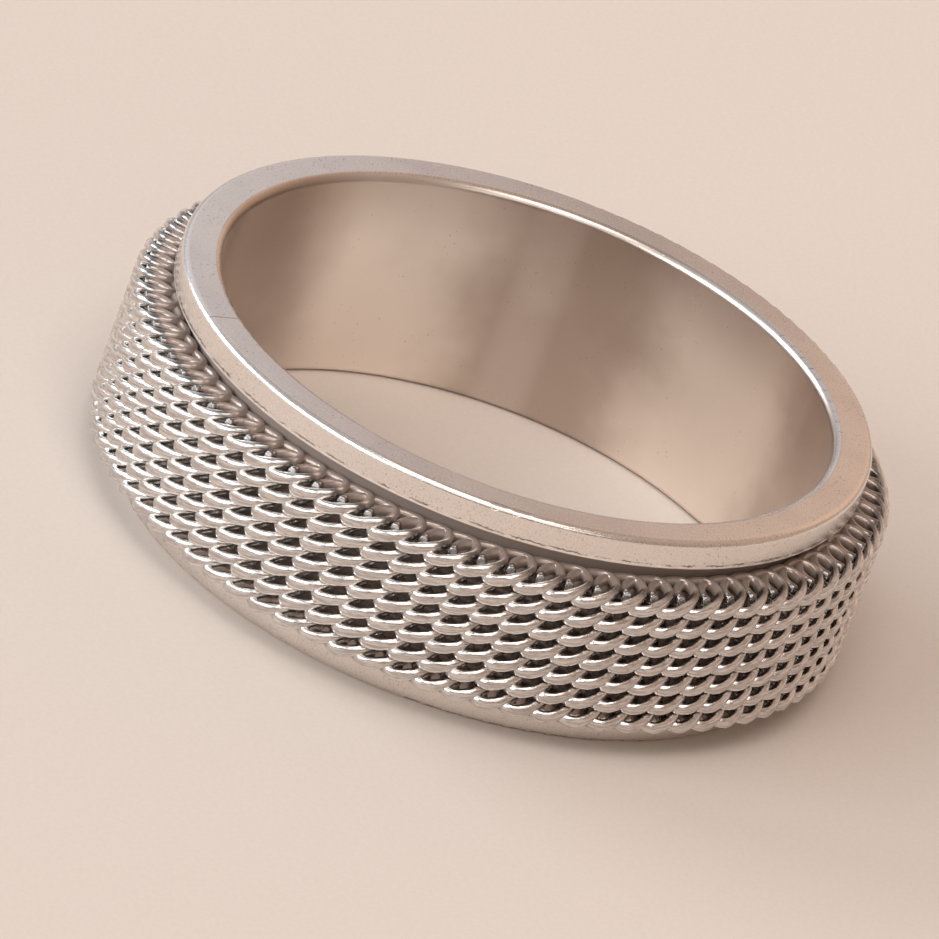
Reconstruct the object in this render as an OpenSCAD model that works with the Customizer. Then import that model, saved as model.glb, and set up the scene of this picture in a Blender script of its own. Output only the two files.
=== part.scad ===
// Spinner ring: a steel finger band with a rim at each end, and a woven steel
// band that turns in the channel between the rims.
// The origin is the centre of the bore on the lower end face, and +Z runs along the finger.

/* [Finger bore] */
// Diameter of the finger bore
bore_d = 19; // [14:0.1:24]
// Radius of the rounded edge where the bore meets each end face
bore_edge_r = 0.25; // [0.05:0.05:0.4]

/* [Inner band] */
// Width of the band along the finger
band_w = 7; // [5:0.1:12]
// Wall between the bore and the floor of the channel
channel_wall = 0.8; // [0.5:0.05:2]
// Height of each rim above the floor of the channel
rim_rise = 0.45; // [0.3:0.05:1.2]
// Thickness of each rim along the finger
rim_w = 0.9; // [0.5:0.05:1.5]
// Radius of the rounded outer edge of each end face
rim_edge_r = 0.2; // [0.05:0.05:0.4]

/* [Woven band] */
// Thickness of the weave, from its inner links to its outer links
weave_t = 1.42; // [0.9:0.02:2.5]
// Rows of links across the weave
weave_rows = 7; // [3:1:12]
// Depth of the groove between two rows of outer links
row_groove = 0.14; // [0.05:0.01:0.2]
// Radius to which the end loops turn in along both edges of the weave
weave_edge_r = 0.3; // [0.1:0.05:0.4]

/* [Fits] */
// Running gap between the weave and the floor of the channel
turn_gap = 0.08; // [0.02:0.01:0.1]
// Gap between the weave and the lower rim, over which it lies
rest_gap = 0.1; // [0.05:0.05:0.4]
// Gap between the weave and the upper rim, the weave's end play
end_play = 0.3; // [0.05:0.05:0.4]

/* [Hidden] */
$fn = 96;

// Radii from the ring's axis outward
bore_r = bore_d / 2;
floor_r = bore_r + channel_wall;
rim_r = floor_r + rim_rise;
weave_in_r = floor_r + turn_gap;
weave_out_r = weave_in_r + weave_t;

// Heights of the weave between the two rims
weave_z = rim_w + rest_gap;
weave_w = band_w - 2 * rim_w - rest_gap - end_play;

// Spacing of the rows, and the radius of a ridge that is as deep as the groove at its sides
row_pitch = weave_w / weave_rows;
ridge_r = (pow(row_pitch / 2, 2) + pow(row_groove, 2)) / (2 * row_groove);

// How far a cutting shape reaches past what it cuts, and a joining one into what it joins
overlap = 0.05;

// What is cut away to round a corner at the origin whose solid lies towards +X and +Y
module corner_cut(r) {
    difference() {
        translate([-overlap, -overlap])
            square(r + overlap);
        translate([r, r])
            circle(r);
    }
}

// Half section of the inner band: the wall, a rim at each end, and rounded edges
module band_section() {
    difference() {
        union() {
            translate([bore_r, 0])
                square([channel_wall, band_w]);
            for (z = [0, band_w - rim_w])
                translate([bore_r, z])
                    square([rim_r - bore_r, rim_w]);
        }
        for (end = [0, 1])
            translate([0, end * band_w])
                mirror([0, end]) {
                    translate([bore_r, 0])
                        corner_cut(bore_edge_r);
                    translate([rim_r, 0])
                        mirror([1, 0])
                            corner_cut(rim_edge_r);
                }
    }
}

// A rectangle with its low corner at the origin and all its corners rounded
module rounded_rect(w, h, r) {
    translate([r, 0])
        square([w - 2 * r, h]);
    translate([0, r])
        square([w, h - 2 * r]);
    for (x = [r, w - r], y = [r, h - r])
        translate([x, y])
            circle(r);
}

// Crest of one row of outer links, as a rounded ridge that starts inside the weave
module row_ridge() {
    intersection() {
        translate([weave_out_r - ridge_r, 0])
            circle(ridge_r);
        translate([weave_out_r - row_groove - overlap, -row_pitch])
            square([row_groove + 2 * overlap, 2 * row_pitch]);
    }
}

// Half section of the weave: one ridge for each row, and edges that turn in
module weave_section() {
    intersection() {
        translate([weave_in_r, weave_z])
            rounded_rect(weave_t, weave_w, weave_edge_r);
        union() {
            translate([weave_in_r, weave_z])
                square([weave_t - row_groove, weave_w]);
            for (row = [0 : weave_rows - 1])
                translate([0, weave_z + (row + 0.5) * row_pitch])
                    row_ridge();
        }
    }
}

// The finger band with its two rims
module inner_band() {
    color("#cdc6c1")
        rotate_extrude()
            band_section();
}

// The woven band that turns round it
module mesh_band() {
    color("#a79f98")
        rotate_extrude()
            weave_section();
}

inner_band();
mesh_band();
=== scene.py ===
"""Looks of the spinner ring: the steel finger band, and the woven band built from its wire spirals."""
import math

import bpy
import numpy as np
from mathutils import Matrix, Vector


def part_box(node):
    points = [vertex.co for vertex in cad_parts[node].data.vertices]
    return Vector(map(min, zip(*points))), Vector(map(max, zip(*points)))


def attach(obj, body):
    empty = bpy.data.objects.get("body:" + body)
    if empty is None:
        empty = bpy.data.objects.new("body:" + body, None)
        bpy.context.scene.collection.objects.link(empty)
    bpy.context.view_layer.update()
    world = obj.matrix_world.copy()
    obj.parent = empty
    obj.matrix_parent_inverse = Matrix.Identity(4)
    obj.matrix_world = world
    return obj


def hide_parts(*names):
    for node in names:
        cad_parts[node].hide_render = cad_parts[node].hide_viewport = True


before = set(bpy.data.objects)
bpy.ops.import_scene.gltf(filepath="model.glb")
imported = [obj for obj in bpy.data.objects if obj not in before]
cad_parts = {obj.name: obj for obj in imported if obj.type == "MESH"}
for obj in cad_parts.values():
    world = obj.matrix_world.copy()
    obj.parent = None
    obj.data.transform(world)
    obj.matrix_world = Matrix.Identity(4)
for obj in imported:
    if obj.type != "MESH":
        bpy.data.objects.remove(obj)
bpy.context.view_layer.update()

MM = 0.001

# Weave, in millimetres. Its heights and radii come from the CAD solid that the spirals stand for.
SPIRALS = 80
ROWS = 7
ROW_PITCH = 0.663
FIRST_ROW_ABOVE = 0.34
WIRE_WIDTH = 0.37
WIRE_THICKNESS = 0.28
ROLLED_CORNER = 0.1
ROLLED_FROM = 0.9
COIL_HALF_WIDTH = 0.66
COIL_SQUARENESS = 2.3
COIL_TILT = -0.25
STRAND_LEAN = 0.5
OUTER_RISE = 0.035
OUTER_SAG = 0.06
SAMPLES_PER_TURN = 30
LOOP_ARCH = 0.02
LOOP_DROP = 0.1
LOOP_SPREAD = 0.18
END_LENGTH = 0.22
END_CHAMFER = 0.02
FIRST_SPIRAL_DEG = -54.3
PIECES = 4

# Random bends of each spiral, and the step, longer than a spiral's wire, that keeps their noise apart
SEED = 7
WOBBLE = 0.012
WOBBLE_KNOTS = 2 * ROWS + 3
NOISE_STEP = 50

# Rounded edges of the finger band and the weave's gaps to its rims, in millimetres, as the CAD has them
RIM_EDGE_R = 0.2
BORE_EDGE_R = 0.25
REST_GAP = 0.1
END_PLAY = 0.3

# Places round the ring of the hairline across the top face, and of the bore's painted shade and painted
# highlight
HAIRLINE_DEG = -148.3
BORE_SHADE_DEG = 158
BORE_HIGHLIGHT_DEG = 92

# Waves of painted reflection round the bore: how many, and where one of them stands
REFLECTION_WAVES = 5.0
REFLECTION_WAVES_FROM_DEG = 50

# Smooth normal: what keeps its length from zero, and the least cosine of its angle to the facet's own
NEVER_ZERO = 0.001
LEAST_COSINE = 0.7

# Tones of the finger band, with painted light on its rim sides, painted highlight and shade along each rim's
# lip, painted reflections, shade and highlight in its bore, and painted shade in its channel
STEEL_DARK = (0.70, 0.66, 0.64, 1)
STEEL_LIGHT = (0.77, 0.73, 0.70, 1)
RIM_PAINTED_LIGHT = (0.92, 0.86, 0.80, 1)
BORE_REFLECTION_DARK = (0.52, 0.43, 0.37, 1)
BORE_REFLECTION_LIGHT = (0.97, 0.90, 0.83, 1)
BORE_PAINTED_SHADE = (0.30, 0.23, 0.19, 1)
BORE_UPPER = (0.46, 0.38, 0.33, 1)
BORE_PAINTED_HIGHLIGHT = (0.90, 0.83, 0.80, 1)
PIT = (0.2, 0.15, 0.13, 1)
MARK = (0.22, 0.17, 0.15, 1)
HAIRLINE = (0.20, 0.17, 0.16, 1)
SPECKLE = (0.42, 0.37, 0.34, 1)
LIP_PAINTED_SHADE = (0.16, 0.12, 0.09, 1)
CHANNEL_SHADE = (0.34, 0.27, 0.23, 1)

# Tones of the woven band, with painted shade where the wire sinks inward, in its end loops and deep in the
# weave
WIRE_DARK = (0.78, 0.75, 0.72, 1)
WIRE_LIGHT = (0.90, 0.87, 0.84, 1)
ROLLED_DARK = (0.52, 0.48, 0.46, 1)
ROLLED_LIGHT = (0.78, 0.74, 0.71, 1)
MOTTLE = (0.36, 0.32, 0.30, 1)
SUNK_WIRE_SHADE = (0.34, 0.30, 0.28, 1)
END_LOOP_SHADE = (0.22, 0.20, 0.19, 1)
DEEP_WIRE_SHADE = (0.40, 0.31, 0.26, 1)

# Tones of the floor and of the room, and half the floor's width in metres
FLOOR_DARK = (0.655, 0.57, 0.505, 1)
FLOOR_LIGHT = (0.675, 0.59, 0.525, 1)
ROOM_COOL = (0.78, 0.79, 0.82, 1)
ROOM_WARM = (0.86, 0.64, 0.52, 1)
FLOOR_HALF = 1.5

# Camera, measured from the ring's origin
CAMERA_ELEVATION_DEG = 26.35
CAMERA_ROLL_DEG = 20.34
CAMERA_DISTANCE = 0.5
CAMERA_LENS = 644.5
CAMERA_SENSOR = 36
CAMERA_CLIP = (0.01, 20)
ORIGIN_RIGHT_OF_VIEW = -0.397 * MM
ORIGIN_ABOVE_VIEW = -2.213 * MM


def weave_sizes():
    """Radii and heights of the woven band in millimetres, from the CAD node that it stands for."""
    low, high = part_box("mesh_band")
    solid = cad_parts["mesh_band"].data
    inner_r = min(math.hypot(v.co.x, v.co.y) for v in solid.vertices)
    return {
        "outer_r": high.x / MM,
        "inner_r": inner_r / MM,
        "z_low": low.z / MM,
        "z_high": high.z / MM,
    }


def coil_height(turn):
    """Height of a spiral above the middle of its first row, in which each outer strand climbs and sags."""
    climb = ROW_PITCH / (2 * math.pi) * (turn + STRAND_LEAN * np.sin(2 * turn))
    return climb + OUTER_RISE * np.sin(turn) - OUTER_SAG * np.cos(turn)


def end_loop(over):
    """How far the loop at an end of the weave arches out and then turns back."""
    return LOOP_ARCH * np.sin(over) - LOOP_DROP * (1 - np.cos(over)) / 2


def spiral_centreline(sizes, wobble):
    """Points of one spiral's centreline as (along the band, outward, up), from cut end to cut end."""
    first_bend, last_bend = -math.pi / 2, 2 * math.pi * (ROWS - 1) + math.pi / 2
    first, last = first_bend - math.pi, last_bend + math.pi
    count = int((last - first) / (2 * math.pi) * SAMPLES_PER_TURN) + 1
    turn = np.linspace(first, last, count)
    sine, cosine = np.sin(turn), np.cos(turn)
    n = COIL_SQUARENESS
    reach = (np.abs(sine) ** n + np.abs(cosine) ** n) ** (-1 / n)
    half_depth = (sizes["outer_r"] - sizes["inner_r"] - WIRE_THICKNESS) / 2 - WOBBLE
    along = COIL_HALF_WIDTH * reach * sine
    outward = half_depth * reach * cosine + COIL_TILT * along
    up = sizes["z_low"] + FIRST_ROW_ABOVE + coil_height(np.clip(turn, first_bend, last_bend))
    past_top, past_bottom = np.maximum(turn - last_bend, 0), np.maximum(first_bend - turn, 0)
    up += end_loop(past_top) - end_loop(past_bottom)
    along += LOOP_SPREAD * (np.cos(past_top) - np.cos(past_bottom)) / 2
    knots = np.linspace(0, 1, wobble.shape[1])
    place = np.linspace(0, 1, count)
    line = np.column_stack([along, outward, up])
    line += np.column_stack([np.interp(place, knots, w) for w in wobble])
    line[:, 2] = np.clip(line[:, 2], sizes["z_low"] + WIRE_WIDTH / 2, sizes["z_high"] - WIRE_WIDTH / 2)
    out = np.array([0.0, 1.0, 0.0])
    return np.concatenate([[line[0] + out * END_LENGTH], line, [line[-1] + out * END_LENGTH]])


def unit(vectors):
    """Vectors of length one."""
    return vectors / np.linalg.norm(vectors, axis=1)[:, None]


def wire_section(corner):
    """Outline of the wire as (outward, up), with its corner radius outside, and round inside."""
    half_width, half_thick = WIRE_WIDTH / 2, WIRE_THICKNESS / 2
    bend = np.radians([0, 30, 60, 90])
    upper = np.column_stack([np.cos(bend), np.sin(bend)]) * corner
    upper += [half_thick - corner, half_width - corner]
    inside = np.radians(np.linspace(90, 180, 5)[1:-1])
    deep = WIRE_THICKNESS - corner
    back = np.column_stack([half_thick - corner + deep * np.cos(inside), half_width * np.sin(inside)])
    upper = np.concatenate([upper, back])
    lower = upper[::-1] * [1, -1]
    return np.concatenate([[[half_thick, 0]], upper, [[-half_thick, 0]], lower])


ROUND = wire_section(WIRE_THICKNESS / 2)
ROLLED = wire_section(ROLLED_CORNER)


def spiral_mesh(sizes, wobble):
    """Vertices of one spiral's wire, bent round the ring at angle zero, and each one's place in the wire."""
    centre = spiral_centreline(sizes, wobble)
    tangent = unit(np.gradient(centre, axis=0))
    up = np.array([0.0, 0.0, 1.0])
    side = unit(up - tangent * (tangent @ up)[:, None])
    normal = np.cross(side, tangent)
    steps = np.linalg.norm(np.diff(centre, axis=0), axis=1)
    length = np.concatenate([[0], np.cumsum(steps)])
    rings = [0] + list(range(len(centre))) + [len(centre) - 1]
    scale = np.ones(len(rings))
    scale[[0, -1]] = 1 - END_CHAMFER / WIRE_THICKNESS * 2
    inset = np.zeros(len(rings))
    inset[1], inset[-2] = END_CHAMFER, -END_CHAMFER
    centre, tangent, side, normal, length = (line[rings] for line in (centre, tangent, side, normal, length))
    centre = centre + tangent * inset[:, None]
    outmost = centre[:, 1].max()
    rolled = np.clip((centre[:, 1] / outmost - ROLLED_FROM) / (1 - ROLLED_FROM), 0, 1)[:, None, None]
    rolled = rolled * rolled * (3 - 2 * rolled)
    section = ROUND * (1 - rolled) + ROLLED * rolled
    place = section.reshape(-1, 2)
    section = section * scale[:, None, None]
    points = centre[:, None, :] + normal[:, None, :] * section[:, :, :1]
    points += side[:, None, :] * section[:, :, 1:]
    points = points.reshape(-1, 3)
    middle_r = (sizes["outer_r"] + sizes["inner_r"]) / 2
    theta = points[:, 0] / middle_r
    r = np.clip(middle_r + points[:, 1], sizes["inner_r"], sizes["outer_r"])
    bent = np.column_stack([r * np.cos(theta), r * np.sin(theta), points[:, 2]])
    place = np.column_stack([np.repeat(length, len(ROUND)), place])
    return bent, place


def wire_faces(rings):
    """Quads and end caps of one wire."""
    sides = len(ROUND)
    i, j = np.meshgrid(np.arange(rings - 1), np.arange(sides), indexing="ij")
    k = (j + 1) % sides
    quads = np.stack([i * sides + j, i * sides + k, (i + 1) * sides + k, (i + 1) * sides + j], -1)
    caps = [list(range(sides))[::-1], [(rings - 1) * sides + a for a in range(sides)]]
    return quads.reshape(-1, 4).tolist() + caps


def turned(points, degrees):
    """Points turned about the ring's axis."""
    a = math.radians(degrees)
    c, s = math.cos(a), math.sin(a)
    x, y = points[:, 0], points[:, 1]
    return np.column_stack([x * c - y * s, x * s + y * c, points[:, 2]])


def weave_pieces(sizes, material):
    """The woven band as a few meshes of joined spirals, which together stand for its CAD node."""
    rng = np.random.RandomState(SEED)
    per_piece = SPIRALS // PIECES
    for p in range(PIECES):
        vertices, places, faces = [], [], []
        for s in range(per_piece):
            number = p * per_piece + s
            wobble = rng.uniform(-WOBBLE, WOBBLE, (3, WOBBLE_KNOTS))
            points, place = spiral_mesh(sizes, wobble)
            one = wire_faces(len(points) // len(ROUND))
            offset = s * len(points)
            faces += [[i + offset for i in face] for face in one]
            vertices.append(turned(points, FIRST_SPIRAL_DEG + number * 360 / SPIRALS) * MM)
            places.append(place + [number * NOISE_STEP, 0, 0])
        mesh = bpy.data.meshes.new(f"mesh_spirals_{p + 1}")
        mesh.from_pydata(np.concatenate(vertices).tolist(), [], faces)
        mesh.polygons.foreach_set("use_smooth", [len(f) == 4 for f in faces])
        wire = mesh.attributes.new("wire", "FLOAT_VECTOR", "POINT")
        wire.data.foreach_set("vector", np.concatenate(places).ravel())
        mesh.update()
        piece = bpy.data.objects.new(mesh.name, mesh)
        bpy.context.scene.collection.objects.link(piece)
        mesh.materials.append(material)
        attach(piece, "spinner")
        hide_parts("mesh_band")


# Sockets of the mix node for each kind of value: the first, the second and the result
MIX_SOCKETS = {"FLOAT": (2, 3, 0), "VECTOR": (4, 5, 1), "RGBA": (6, 7, 2)}


class Graph:
    """A node tree, with short calls that add and link its nodes."""

    def __init__(self, owner):
        owner.use_nodes = True
        self.tree = owner.node_tree
        self.nodes = self.tree.nodes

    def plug(self, node, socket, value):
        """Link a socket into a node's input, or set the input to a value."""
        if isinstance(value, bpy.types.NodeSocket):
            self.tree.links.new(value, node.inputs[socket])
        else:
            node.inputs[socket].default_value = value

    def add(self, kind, inputs, output=0, **settings):
        """Add a node with its settings and inputs, and give back one of its outputs."""
        node = self.nodes.new(kind)
        for key, value in settings.items():
            setattr(node, key, value)
        for socket, value in inputs.items():
            self.plug(node, socket, value)
        return node.outputs[output]

    def math(self, operation, a, b=0.0):
        """Arithmetic on one or two numbers."""
        return self.add("ShaderNodeMath", {0: a, 1: b}, operation=operation)

    def in_turn(self, operation, first, others):
        """The first number with the others added, taken away or multiplied one by one."""
        for other in others:
            first = self.math(operation, first, other)
        return first

    def plus(self, first, *others):
        """Sum of numbers."""
        return self.in_turn("ADD", first, others)

    def minus(self, first, *others):
        """The first number less the others."""
        return self.in_turn("SUBTRACT", first, others)

    def times(self, first, *others):
        """Product of numbers."""
        return self.in_turn("MULTIPLY", first, others)

    def spread(self, value, low, high, to_low=0.0, to_high=1.0):
        """A value between two limits, carried smoothly to 0 and 1 or to two other numbers."""
        inputs = {"Value": value, "From Min": low, "From Max": high, "To Min": to_low, "To Max": to_high}
        return self.add("ShaderNodeMapRange", inputs, interpolation_type="SMOOTHSTEP")

    def blend(self, amount, a, b, kind="RGBA"):
        """Mix two colours, or two values of another kind."""
        first, second, result = MIX_SOCKETS[kind]
        inputs = {"Factor": amount, first: a, second: b}
        return self.add("ShaderNodeMix", inputs, output=result, data_type=kind)

    def stretched(self, vector, x, y, z):
        """A vector with its parts scaled."""
        inputs = {0: vector, 1: (x, y, z)}
        return self.add("ShaderNodeVectorMath", inputs, operation="MULTIPLY")

    def noise(self, vector, scale, detail=2.0):
        """Cloudy noise from 0 to 1."""
        return self.add("ShaderNodeTexNoise", {"Vector": vector, "Scale": scale, "Detail": detail})

    def cells(self, vector, scale):
        """Distance to the middle of the nearest of scattered cells."""
        return self.add("ShaderNodeTexVoronoi", {"Vector": vector, "Scale": scale})

    def bump(self, height, strength, distance, normal=None):
        """Normal bent by a height whose unit is the given distance in millimetres."""
        inputs = {"Height": height, "Strength": strength, "Distance": distance * MM}
        if normal:
            inputs["Normal"] = normal
        return self.add("ShaderNodeBump", inputs)

    def ramp(self, value, low, high):
        """A value between two limits, carried evenly to 0 and 1."""
        return self.add("ShaderNodeMapRange", {"Value": value, "From Min": low, "From Max": high})

    def split(self, vector):
        """The three parts of a vector."""
        node = self.nodes.new("ShaderNodeSeparateXYZ")
        self.plug(node, 0, vector)
        return node.outputs

    def place(self):
        """The object's place in millimetres."""
        return self.stretched(self.add("ShaderNodeTexCoord", {}, output="Object"), 1 / MM, 1 / MM, 1 / MM)

    def ring_place(self):
        """The object's place in millimetres, with its angle round the ring, its radius and its height."""
        place = self.place()
        x, y, z = self.split(place)
        angle = self.math("ARCTAN2", y, x)
        radius = self.math("SQRT", self.plus(self.times(x, x), self.times(y, y)))
        return place, angle, radius, z


def rounded_normal(g, sizes, angle, radius, z):
    """Smooth normal of the band's faces and rounded edges, in place of its facets' own."""
    mid = sizes["height"] / 2
    outside = g.ramp(radius, sizes["rim_r"] - RIM_EDGE_R, sizes["rim_r"])
    inside = g.ramp(radius, sizes["bore_r"] + BORE_EDGE_R, sizes["bore_r"])
    out = g.plus(g.minus(outside, inside), NEVER_ZERO)
    from_mid = g.minus(z, mid)
    away = g.math("ABSOLUTE", from_mid)
    near_bore = g.math("LESS_THAN", radius, (sizes["bore_r"] + sizes["rim_r"]) / 2)
    edge_r = g.blend(near_bore, RIM_EDGE_R, BORE_EDGE_R, "FLOAT")
    lift = g.math("DIVIDE", g.minus(away, g.minus(mid, edge_r)), edge_r)
    lift = g.times(g.math("MAXIMUM", lift, 0.0), g.math("SIGN", from_mid))
    x = g.times(out, g.math("COSINE", angle))
    y = g.times(out, g.math("SINE", angle))
    smooth = g.add("ShaderNodeCombineXYZ", {0: x, 1: y, 2: lift})
    smooth = g.add("ShaderNodeVectorTransform", {0: smooth}, vector_type="NORMAL",
                   convert_from="OBJECT", convert_to="WORLD")
    smooth = g.add("ShaderNodeVectorMath", {0: smooth}, operation="NORMALIZE")
    facet = g.add("ShaderNodeNewGeometry", {}, output="True Normal")
    own = g.add("ShaderNodeNewGeometry", {}, output="Normal")
    agree = g.add("ShaderNodeVectorMath", {0: smooth, 1: facet}, output="Value", operation="DOT_PRODUCT")
    return g.blend(g.math("GREATER_THAN", agree, LEAST_COSINE), own, smooth, "VECTOR")


def band_zones(g, sizes, radius, z):
    """Where the band's bore, rim sides, top face and channel are, each as a share from 0 to 1."""
    in_bore = g.spread(radius, sizes["bore_r"] + BORE_EDGE_R, sizes["bore_r"] + 0.05)
    outside_bore = g.minus(1.0, in_bore)
    above_low_rim = g.spread(z, sizes["low_wall"] - 0.04, sizes["low_wall"] + 0.02)
    below_high_rim = g.spread(z, sizes["high_wall"] + 0.04, sizes["high_wall"] - 0.02)
    return {
        "in_bore": in_bore,
        "outside_bore": outside_bore,
        "on_side": g.spread(radius, sizes["rim_r"] - 0.25, sizes["rim_r"] - 0.1),
        "on_top": g.spread(z, sizes["height"] - 0.1, sizes["height"] - 0.05),
        "in_channel": g.times(above_low_rim, below_high_rim, outside_bore),
    }


def band_damage(g, place, round_ring, outside_bore):
    """Pits all over the band, and narrower marks outside the bore, each as a share from 0 to 1."""
    pits = g.spread(g.cells(g.stretched(round_ring, 2.2, 1, 1), 3.4), 0.14, 0.06)
    pits = g.times(pits, g.spread(g.noise(place, 1.1), 0.48, 0.62))
    marks = g.spread(g.cells(g.stretched(round_ring, 3.5, 1.2, 1.2), 3.1), 0.17, 0.09)
    marks = g.times(marks, g.spread(g.noise(place, 0.6), 0.46, 0.56), outside_bore)
    return pits, marks


def near_angle(g, angle, degrees, low, high):
    """Share that rises from 0 to 1 towards a place round the ring, between two cosines of the way to it."""
    return g.spread(g.math("COSINE", g.minus(angle, math.radians(degrees))), low, high)


def bore_painted_light(g, sizes, steel, angle, z, cloud, in_bore):
    """Steel with painted light in the bore over it: waves of painted reflection round the ring, a dark patch
    of painted shade, a darker top and a narrow painted highlight.
    """
    # Painted reflection: light and dark waves round the bore
    waves = g.math("COSINE", g.times(g.minus(angle, math.radians(REFLECTION_WAVES_FROM_DEG)), REFLECTION_WAVES))
    waves = g.plus(waves, g.times(cloud, 2.0))
    reflection = g.blend(g.spread(waves, 0.0, 2.0), BORE_REFLECTION_DARK, BORE_REFLECTION_LIGHT)
    steel = g.blend(g.times(in_bore, 0.9), steel, reflection)
    # Painted shade: a dark patch in the bore
    bore_shade = near_angle(g, angle, BORE_SHADE_DEG, 0.86, 0.99)
    steel = g.blend(g.times(bore_shade, in_bore, 0.5), steel, BORE_PAINTED_SHADE)
    upper = g.spread(z, sizes["height"] - 2.6, sizes["height"] - 0.2)
    steel = g.blend(g.times(upper, in_bore, 0.4), steel, BORE_UPPER)
    # Painted highlight: a narrow light band down the bore
    bore_highlight = near_angle(g, angle, BORE_HIGHLIGHT_DEG, 0.994, 1.0)
    return g.blend(g.times(bore_highlight, in_bore, 0.3), steel, BORE_PAINTED_HIGHLIGHT)


def lip_painted_light(g, sizes, steel, round_ring, z, on_side):
    """Steel with a painted highlight as a ragged bright lip along each rim's edge at the channel, and a
    broken dark line of painted shade beside it.
    """
    from_mid = g.minus(z, sizes["height"] / 2)
    ragged = g.times(g.minus(g.noise(round_ring, 9.0, 3.0), 0.5), 0.14)
    from_lip = g.minus(g.math("ABSOLUTE", from_mid), sizes["height"] / 2 - sizes["low_wall"], ragged)
    # Painted highlight along each rim's lip, and a broken dark line of painted shade beside it
    lip = g.times(g.spread(from_lip, 0.09, 0.07), on_side)
    lip_shade = g.times(g.spread(from_lip, 0.14, 0.11), on_side)
    broken = g.spread(g.noise(round_ring, 2.3, 3.0), 0.40, 0.56)
    steel = g.blend(g.times(lip_shade, broken, 0.85), steel, LIP_PAINTED_SHADE)
    return g.blend(lip, steel, RIM_PAINTED_LIGHT)


def band_material(sizes):
    """Turned steel: satin faces with fine marks, sides lightened by painted light, painted reflections, shade
    and a highlight in the bore, and a dull brown channel of painted shade.
    """
    material = bpy.data.materials.new("band_steel")
    g = Graph(material)
    shader = g.nodes["Principled BSDF"]
    place, angle, radius, z = g.ring_place()
    arc = g.times(angle, sizes["bore_r"])
    round_ring = g.add("ShaderNodeCombineXYZ", {0: arc, 1: radius, 2: z})
    zones = band_zones(g, sizes, radius, z)
    in_bore, outside_bore = zones["in_bore"], zones["outside_bore"]
    on_side, in_channel = zones["on_side"], zones["in_channel"]
    cloud = g.noise(place, 0.35, 3.0)
    grain = g.noise(g.stretched(round_ring, 1.2, 26, 26), 1.0, 3.0)
    fine = g.noise(place, 18.0, 2.0)
    pits, marks = band_damage(g, place, round_ring, outside_bore)

    steel = g.blend(g.spread(cloud, 0.35, 0.65), STEEL_DARK, STEEL_LIGHT)
    # Painted light: the rim sides are made lighter
    steel = g.blend(g.times(on_side, 0.6), steel, RIM_PAINTED_LIGHT)
    steel = bore_painted_light(g, sizes, steel, angle, z, cloud, in_bore)
    steel = g.blend(g.times(pits, 0.5), steel, PIT)
    steel = g.blend(g.times(marks, 0.6), steel, MARK)
    across = g.math("ABSOLUTE", g.minus(arc, math.radians(HAIRLINE_DEG) * sizes["bore_r"]))
    hairline = g.times(zones["on_top"], outside_bore, g.spread(across, 0.03, 0.01))
    steel = g.blend(g.times(hairline, 0.7), steel, HAIRLINE)
    speckle = g.times(g.spread(fine, 0.5, 0.3), outside_bore)
    steel = g.blend(g.times(speckle, 0.32), steel, SPECKLE)
    steel = lip_painted_light(g, sizes, steel, round_ring, z, on_side)
    # Painted shade: the channel under the weave is darker brown and less metallic
    g.plug(shader, "Base Color", g.blend(in_channel, steel, CHANNEL_SHADE))
    g.plug(shader, "Metallic", g.minus(1.0, g.times(in_channel, 0.8)))

    rough = g.plus(0.17, g.times(grain, 0.08), g.times(fine, 0.08))
    rough = g.plus(rough, g.times(in_bore, 0.06), g.times(in_channel, 0.3))
    g.plug(shader, "Roughness", rough)

    height = g.plus(g.times(grain, 0.4), g.times(fine, 0.5))
    height = g.times(height, g.minus(1.0, g.times(in_bore, 0.7)))
    height = g.minus(height, pits, marks)
    smooth = rounded_normal(g, sizes, angle, radius, z)
    g.plug(shader, "Normal", g.bump(height, 0.45, 0.009, smooth))
    return material


def weave_zones(g, sizes, wire_out):
    """Where the wire is rolled flat, and where it gets painted shade: deep in the weave, in an end loop or
    sunk inward from the outer face, from 0 to 1.
    """
    _, _, radius, z = g.ring_place()
    outer_r = sizes["outer_r"]
    flat = g.spread(wire_out, WIRE_THICKNESS / 2 - 0.012, WIRE_THICKNESS / 2 - 0.002)
    top = g.spread(z, sizes["z_high"] - 0.6, sizes["z_high"] - 0.3)
    bottom = g.spread(z, sizes["z_low"] + 0.6, sizes["z_low"] + 0.3)
    return {
        "rolled": g.times(flat, g.spread(radius, outer_r - 0.3, outer_r - 0.1)),
        "deep": g.spread(radius, outer_r - 0.45, outer_r - 0.65),
        "loop_shade": g.times(g.plus(top, bottom), g.spread(radius, outer_r - 0.12, outer_r - 0.4)),
        "sunk_shade": g.spread(radius, outer_r - 0.08, outer_r - 0.34),
    }


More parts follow.
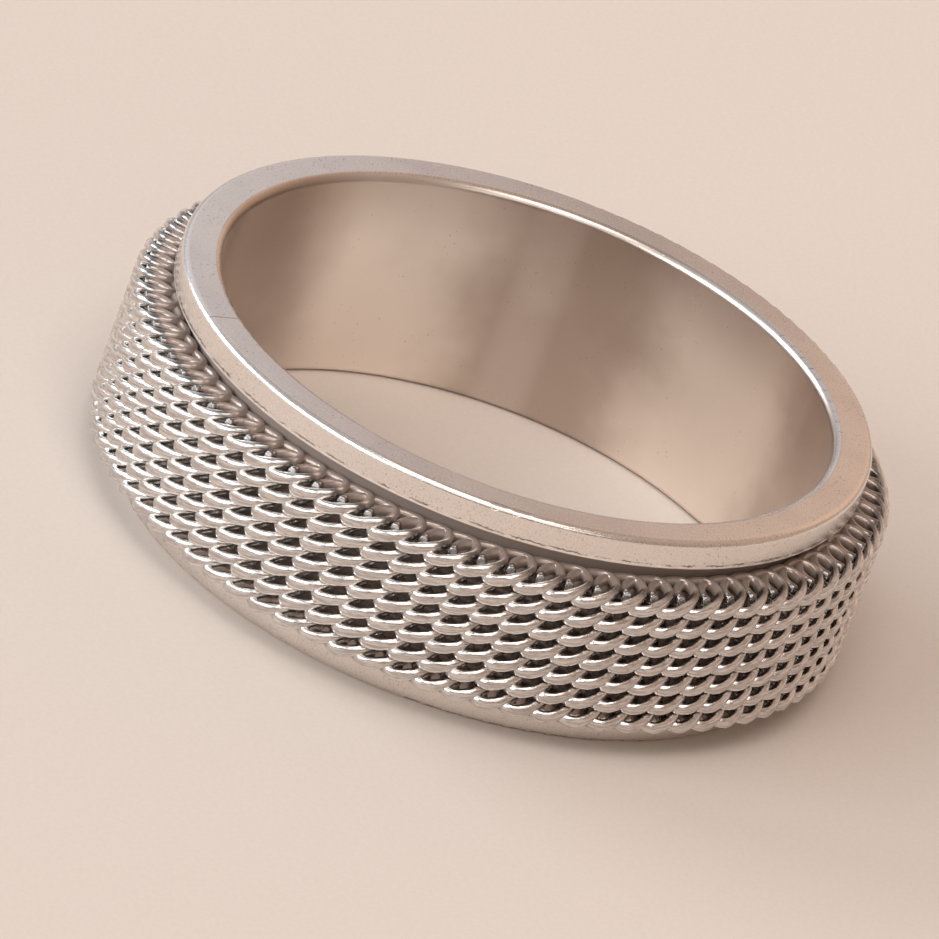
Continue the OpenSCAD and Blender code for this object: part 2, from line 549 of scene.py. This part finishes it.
def weave_material(sizes):
    """Drawn steel wire: fine lines along it, dull where it was rolled flat, and painted shade deep in the
    weave, in its end loops and where it sinks inward.
    """
    material = bpy.data.materials.new("mesh_steel")
    g = Graph(material)
    shader = g.nodes["Principled BSDF"]
    wire = g.add("ShaderNodeAttribute", {}, output="Vector", attribute_name="wire")
    zones = weave_zones(g, sizes, g.split(wire)[1])
    drawn = g.noise(g.stretched(wire, 1.3, 24, 24), 1.0, 3.0)
    patches = g.noise(wire, 1.7, 2.0)
    mottled = g.noise(g.stretched(wire, 5, 14, 14), 1.0, 3.0)

    steel = g.blend(g.spread(patches, 0.3, 0.7), WIRE_DARK, WIRE_LIGHT)
    face = g.blend(g.spread(drawn, 0.3, 0.7), ROLLED_DARK, ROLLED_LIGHT)
    steel = g.blend(zones["rolled"], steel, face)
    steel = g.blend(g.times(g.spread(mottled, 0.52, 0.36), 0.4), steel, MOTTLE)
    # Painted shade: the wire darkens as it sinks inward from the outer face
    steel = g.blend(g.times(zones["sunk_shade"], 0.2), steel, SUNK_WIRE_SHADE)
    # Painted shade: the end loops under the rims are darkened
    steel = g.blend(g.times(zones["loop_shade"], 0.9), steel, END_LOOP_SHADE)
    # Painted shade: wire deep in the weave is darker brown and less metallic
    steel = g.blend(g.times(zones["deep"], 0.8), steel, DEEP_WIRE_SHADE)
    g.plug(shader, "Base Color", steel)
    g.plug(shader, "Metallic", g.minus(1.0, g.times(zones["deep"], 0.6)))

    rough = g.plus(0.15, g.times(drawn, 0.12), g.times(zones["rolled"], 0.1))
    g.plug(shader, "Roughness", rough)

    height = g.plus(g.times(drawn, 0.6), mottled)
    g.plug(shader, "Normal", g.bump(height, 0.6, 0.014))
    return material


def make_camera():
    """Camera on the -Y side, raised and rolled as the ring is seen."""
    elevation, roll = math.radians(CAMERA_ELEVATION_DEG), math.radians(CAMERA_ROLL_DEG)
    back = Vector((0, -math.cos(elevation), math.sin(elevation)))
    level_right = Vector((1, 0, 0))
    level_up = back.cross(level_right)
    right = level_right * math.cos(roll) + level_up * math.sin(roll)
    up = level_up * math.cos(roll) - level_right * math.sin(roll)
    place = back * CAMERA_DISTANCE - right * ORIGIN_RIGHT_OF_VIEW - up * ORIGIN_ABOVE_VIEW
    data = bpy.data.cameras.new("camera")
    data.lens = CAMERA_LENS
    data.sensor_width = CAMERA_SENSOR
    data.clip_start, data.clip_end = CAMERA_CLIP
    camera = bpy.data.objects.new("camera", data)
    camera.matrix_world = Matrix((
        (right.x, up.x, back.x, place.x),
        (right.y, up.y, back.y, place.y),
        (right.z, up.z, back.z, place.z),
        (0, 0, 0, 1),
    ))
    bpy.context.scene.collection.objects.link(camera)
    bpy.context.scene.camera = camera


def make_floor():
    """Plain pale floor that the ring lies on."""
    mesh = bpy.data.meshes.new("floor")
    corners = [(x * FLOOR_HALF, y * FLOOR_HALF, 0) for x, y in ((-1, -1), (1, -1), (1, 1), (-1, 1))]
    mesh.from_pydata(corners, [], [(0, 1, 2, 3)])
    floor = bpy.data.objects.new("floor", mesh)
    bpy.context.scene.collection.objects.link(floor)
    material = bpy.data.materials.new("floor")
    g = Graph(material)
    shader = g.nodes["Principled BSDF"]
    grain = g.noise(g.place(), 6.0, 4.0)
    tone = g.blend(g.spread(grain, 0.3, 0.7), FLOOR_DARK, FLOOR_LIGHT)
    g.plug(shader, "Base Color", tone)
    g.plug(shader, "Roughness", 0.85)
    g.plug(shader, "Specular IOR Level", 0.2)
    mesh.materials.append(material)


def soft_box(name, place, size, radiance, colour):
    """Rectangular light that faces the ring's origin, as bright all over as its radiance."""
    data = bpy.data.lights.new(name, "AREA")
    data.shape = "RECTANGLE"
    data.size, data.size_y = size
    data.energy = radiance * math.pi * size[0] * size[1]
    data.color = colour
    light = bpy.data.objects.new(name, data)
    light.location = place
    light.rotation_euler = (-Vector(place)).to_track_quat("-Z", "Y").to_euler()
    light.visible_camera = False
    bpy.context.scene.collection.objects.link(light)


def make_light():
    """Room, cool on the left, warm on the right and dim behind the camera, with soft boxes round the ring."""
    world = bpy.data.worlds.new("studio")
    bpy.context.scene.world = world
    g = Graph(world)
    background = g.nodes["Background"]
    x, y, z = g.split(g.add("ShaderNodeTexCoord", {}, output="Generated"))
    colour = g.blend(g.spread(x, -0.7, 0.3), ROOM_COOL, ROOM_WARM)
    g.plug(background, "Color", colour)
    behind_camera = g.times(g.spread(y, -0.6, -0.85), g.spread(z, 0.4, 0.2))
    strength = g.spread(y, -0.6, 0.4, 0.42, 0.58)
    g.plug(background, "Strength", g.minus(strength, g.times(behind_camera, 0.34)))
    soft_box("above", (0.02, -0.48, 0.88), (0.64, 0.48), 4.0, (1.0, 0.98, 0.96))
    soft_box("left", (-1.26, 0.30, 0.51), (0.90, 0.54), 6.5, (0.90, 0.95, 1.0))
    soft_box("front_left", (-1.35, -1.14, 0.72), (1.50, 1.02), 5.0, (0.92, 0.96, 1.0))
    soft_box("front", (0.30, -1.56, 0.84), (1.80, 0.60), 1.4, (1.0, 0.94, 0.90))
    soft_box("back_left", (-0.05, 0.10, 0.066), (0.10, 0.06), 0.40, (0.78, 0.88, 1.0))
    soft_box("back_right", (0.052, 0.10, 0.066), (0.10, 0.06), 0.34, (1.0, 0.60, 0.34))
    view = bpy.context.scene.view_settings
    view.view_transform = "Standard"
    view.exposure = 0.0


def band_sizes():
    """Radii and heights of the finger band in millimetres, from its CAD node."""
    _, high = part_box("inner_band")
    radii = [math.hypot(v.co.x, v.co.y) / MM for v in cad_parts["inner_band"].data.vertices]
    mesh_low, mesh_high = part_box("mesh_band")
    return {
        "bore_r": min(radii),
        "rim_r": max(radii),
        "height": high.z / MM,
        "low_wall": mesh_low.z / MM - REST_GAP,
        "high_wall": mesh_high.z / MM + END_PLAY,
    }


make_camera()
make_floor()
make_light()
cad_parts["inner_band"].material_slots[0].material = band_material(band_sizes())
weave = weave_sizes()
weave_pieces(weave, weave_material(weave))
